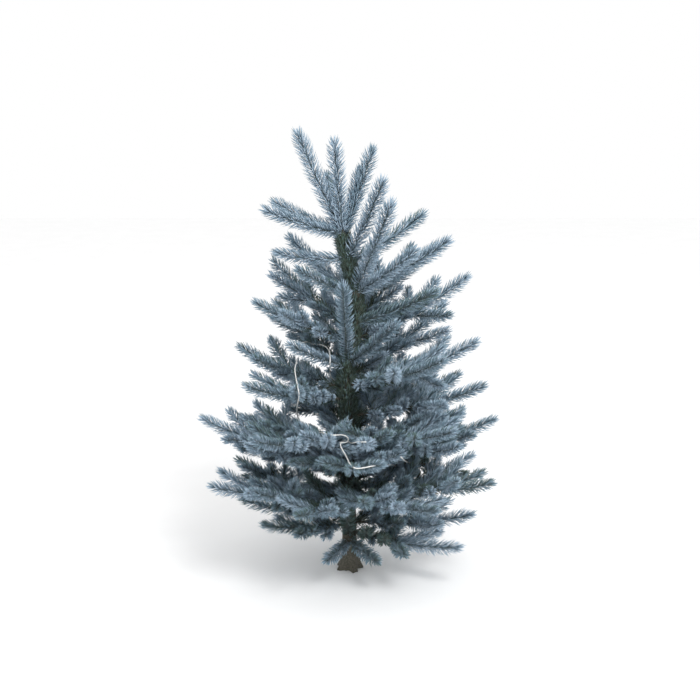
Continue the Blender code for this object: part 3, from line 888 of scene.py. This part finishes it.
def trunk_needles():
    """The trunk keeps its own needles, more of them towards its top."""
    rng = np.random.default_rng(TRUNK_NEEDLE_SEED)
    count = TRUNK_NEEDLES
    share = rng.uniform(0, 1, count) ** TRUNK_NEEDLE_CROWDING
    height = TRUNK_NEEDLES_FROM + (TRUNK_TOP - TRUNK_NEEDLES_FROM) * share
    around = rng.uniform(0, math.tau, count)
    centre = np.array([trunk_centre(h) for h in height])
    radius = np.array([trunk_radius(h) for h in height])
    radial = np.stack([np.cos(around), np.sin(around), np.zeros(count)], axis=1)
    axis = np.tile((0.0, 0.0, 1.0), (count, 1))
    opening = np.radians(rng.uniform(*TRUNK_NEEDLE_OPENING, count))[:, None]
    ahead = np.cos(opening) * axis + np.sin(opening) * radial
    bend = TRUNK_BEND_AHEAD * axis + TRUNK_BEND_OUT * radial
    bend += rng.normal(0, TRUNK_BEND_SPREAD, (count, 3))
    across = np.cross(axis, radial)
    root = centre + radial * radius[:, None] * TRUNK_NEEDLE_ROOT
    length = rng.uniform(*TRUNK_NEEDLE_LENGTH, count)
    width = NEEDLE_WIDTH * rng.uniform(*NEEDLE_WIDTH_SPREAD, count)
    shades, odds = zip(*TRUNK_SHADES)
    shade = rng.choice(shades, count, p=odds)
    return root, ahead, bend, across, length, width, shade


def needle_mesh(name, parts):
    """All needles of some lengths as one mesh: one needle's shape, bent and placed for each."""
    root, ahead, bend, across, length, width, shade = [np.concatenate(rows) for rows in zip(*parts)]
    corners, faces = needle_shape()
    along = corners[None, :, 2:3]
    over = unit(np.cross(across, ahead + 0.5 * bend))
    spine = along * ahead[:, None] + 0.5 * along ** 2 * bend[:, None]
    outline = corners[None, :, 0:1] * across[:, None] - corners[None, :, 1:2] * over[:, None]
    points = root[:, None] + length[:, None, None] * spine
    points = points + width[:, None, None] * outline
    count, each = len(root), len(corners)
    sizes = np.tile([len(face) for face in faces], count)
    loops = (np.arange(count)[:, None] * each + np.concatenate(faces)[None]).ravel()
    mesh = bpy.data.meshes.new(name)
    mesh.vertices.add(count * each)
    mesh.vertices.foreach_set("co", points.astype(np.float32).ravel())
    mesh.loops.add(len(loops))
    mesh.loops.foreach_set("vertex_index", loops.astype(np.int32))
    mesh.polygons.add(len(sizes))
    mesh.polygons.foreach_set("loop_start", (np.cumsum(sizes) - sizes).astype(np.int32))
    mesh.polygons.foreach_set("material_index", np.repeat(shade, len(faces)).astype(np.int32))
    mesh.update(calc_edges=True)
    return mesh


def node_name(name):
    """The solid that a mass's needles stand for."""
    return name if name == "leaders" else name + "_needles"


def needle_pieces(kept, finishes):
    """The needles of neighbouring masses, joined. The trunk's own are with the crown's."""
    for piece_name, beginnings in NEEDLE_PIECES:
        names = [name for name in kept if node_name(name).startswith(beginnings)]
        parts = []
        for name in names:
            draw = random.Random(name + " needles")
            parts += [needles_of(year, draw) for year in kept[name] if year.age < BARE_FROM_AGE]
        if piece_name == "needles_crown":
            parts.append(trunk_needles())
        mesh = needle_mesh(piece_name, parts)
        piece(piece_name, mesh, "needles", finishes, *[node_name(name) for name in names])


# The loose string that lies on the foliage


def foliage_surface(solids):
    """All solids as one surface, to lay the string on."""
    corners, faces = [], []
    for solid in solids:
        first = len(corners)
        corners += [corner.co for corner in solid.data.vertices]
        faces += [[first + i for i in face.vertices] for face in solid.data.polygons]
    return BVHTree.FromPolygons(corners, faces)


def sight_line(across, down):
    """The direction from the eye through a pixel of the picture."""
    half = CAMERA_SENSOR / 2 / CAMERA_LENS
    middle = PICTURE_SIDE / 2
    ray = VIEW_AHEAD + Vector((1, 0, 0)) * ((across - middle) / middle * half)
    return ray + VIEW_UP * ((middle - down) / middle * half)


def laid(foliage, rays):
    """The string's points along some sight lines: just in front of the foliage and straight
    across its gaps, evened so that no point lies behind the mean of its neighbours."""
    hits = [foliage.ray_cast(EYE, ray)[0] for ray in rays]
    known = [i for i, hit in enumerate(hits) if hit]
    found = [(hits[i] - EYE).length / rays[i].length - STRING_LIFT for i in known]
    depths = list(np.interp(range(len(rays)), known, found))
    for _ in range(STRING_EVENINGS):
        padded = [depths[0]] + depths + [depths[-1]]
        even = [(a + b + c) / 3 for a, b, c in zip(padded, padded[1:], padded[2:])]
        depths = [min(depth, near) for depth, near in zip(depths, even)]
    return [EYE + ray * depth for ray, depth in zip(rays, depths)]


def curve_through(points):
    """A smooth line through points, in steps of at most STRING_STEP."""
    ends = [2 * points[0] - points[1]] + points + [2 * points[-1] - points[-2]]
    line = []
    for before, here, there, after in zip(ends, ends[1:], ends[2:], ends[3:]):
        steps = max(2, math.ceil((there - here).length / STRING_STEP))
        for t in [i / steps for i in range(steps)]:
            line.append(0.5 * (2 * here + (there - before) * t
                               + (2 * before - 5 * here + 4 * there - after) * t * t
                               + (3 * here - before - 3 * there + after) * t ** 3))
    line.append(points[-1])
    return line


def string_piece(foliage, fibre):
    """Each route, laid onto the foliage from the side of the eye."""
    bm = bmesh.new()
    for route in STRING_ROUTES:
        line = curve_through(laid(foliage, [sight_line(*pixel) for pixel in route]))
        carried(bm, line, STRING_SIDES, lambda station, side: STRING_RADIUS * (
            1 + STRAND_DEPTH * math.sin(station * STRAND_TURN + side)))
    piece("loose_string", mesh_of(bm, "loose_string"), None, [fibre])


# Camera, light and floor


def camera():
    data = bpy.data.cameras.new("camera")
    data.lens = CAMERA_LENS
    data.sensor_width = CAMERA_SENSOR
    obj = bpy.data.objects.new("camera", data)
    obj.location = EYE
    obj.rotation_euler = VIEW_AHEAD.to_track_quat("-Z", "Y").to_euler()
    bpy.context.scene.collection.objects.link(obj)
    bpy.context.scene.camera = obj


def key_light():
    data = bpy.data.lights.new("key_light", "AREA")
    data.shape = "DISK"
    data.size = KEY_LIGHT_SIZE
    data.energy = KEY_LIGHT_POWER
    obj = bpy.data.objects.new("key_light", data)
    obj.location = KEY_LIGHT_PLACE
    aim = CAMERA_LOOKS_AT - Vector(KEY_LIGHT_PLACE)
    obj.rotation_euler = aim.to_track_quat("-Z", "Y").to_euler()
    bpy.context.scene.collection.objects.link(obj)


def studio():
    world = bpy.data.worlds.new("studio")
    world.use_nodes = True
    background = world.node_tree.nodes["Background"]
    background.inputs["Color"].default_value = (1.0, 1.0, 1.0, 1)
    background.inputs["Strength"].default_value = WORLD_STRENGTH
    bpy.context.scene.world = world
    bpy.context.scene.view_settings.view_transform = "Standard"
    key_light()
    bm = bmesh.new()
    bmesh.ops.create_grid(bm, x_segments=1, y_segments=1, size=FLOOR_HALF_SIDE)
    mesh = mesh_of(bm, "floor")
    mesh.materials.append(procedural(PALE_FLOOR))
    floor = bpy.data.objects.new("floor", mesh)
    bpy.context.scene.collection.objects.link(floor)


camera()
studio()
tree = whole_tree()
bark = procedural(BARK)
trunk_piece(bark)
bough_piece(tree, bark)
twig_piece(tree, bark, procedural(YOUNG_WOOD))
needle_pieces(tree, needle_finishes())
string_piece(foliage_surface(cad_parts.values()), procedural(STRING_FIBRE))
